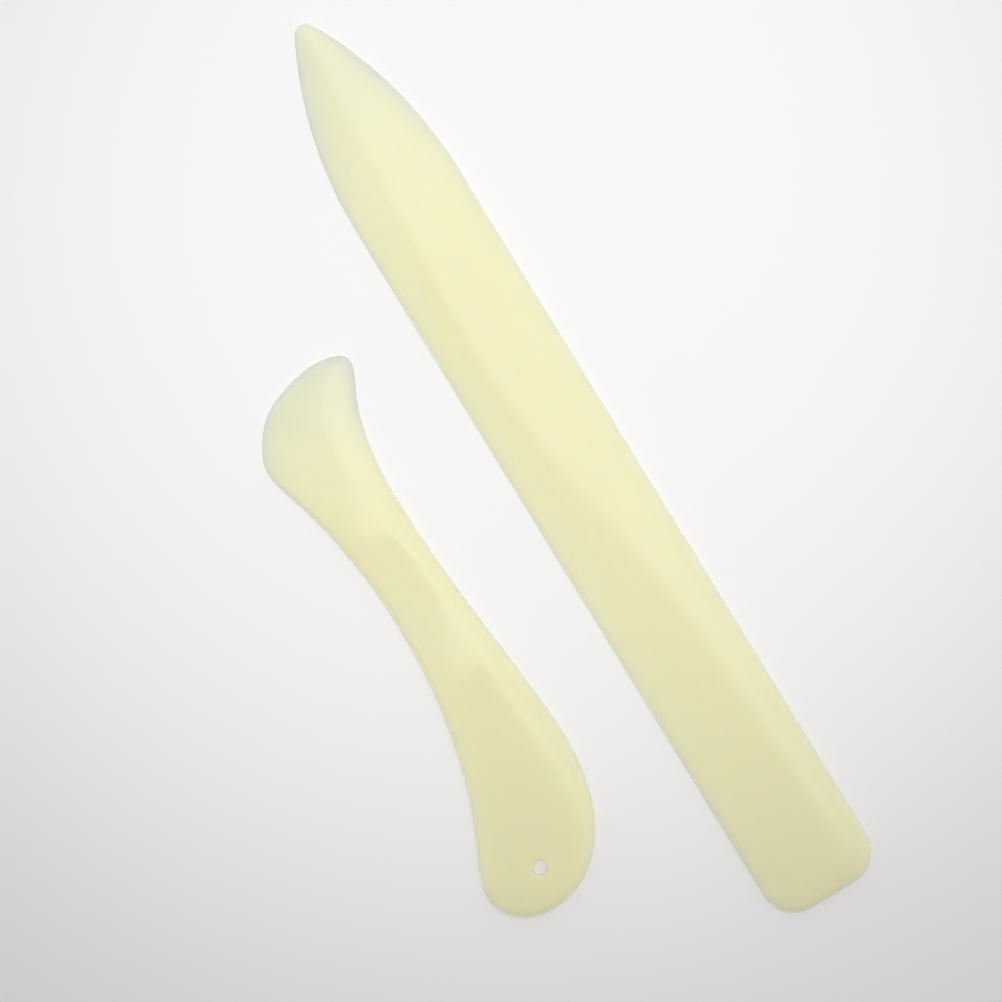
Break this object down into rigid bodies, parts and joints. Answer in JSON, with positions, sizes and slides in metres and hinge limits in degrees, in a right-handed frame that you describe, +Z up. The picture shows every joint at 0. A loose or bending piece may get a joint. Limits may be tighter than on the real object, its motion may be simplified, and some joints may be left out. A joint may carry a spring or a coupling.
{
  "type": "bone folder set",
  "caption": "Moulded nylon paper-creasing tools: a long strip folder with an ogive point, and a short curved folder with a scoop head and a hanging hole in its paddle.",
  "frame": {"origin": "on the table, at the middle of the pair's footprint", "axes": "+X along the pointed folder to its point, +Y from the pointed folder to the curved one, +Z up from the table"},
  "size_m": [0.2, 0.07, 0.004],
  "materials": {
    "ivory_nylon": "semi-gloss moulded nylon, pale ivory with a green-yellow cast, slightly translucent at thin edges"
  },
  "bodies": {
    "pointed_folder": {"pointed_folder": "ivory_nylon"},
    "curved_folder": {"curved_folder": "ivory_nylon"}
  },
  "joints": [
    {"name": "curved_folder_lift", "type": "slide", "parent": "pointed_folder", "child": "curved_folder", "axis": [0, 0, 1], "range_m": [0, 0.05]}
  ]
}
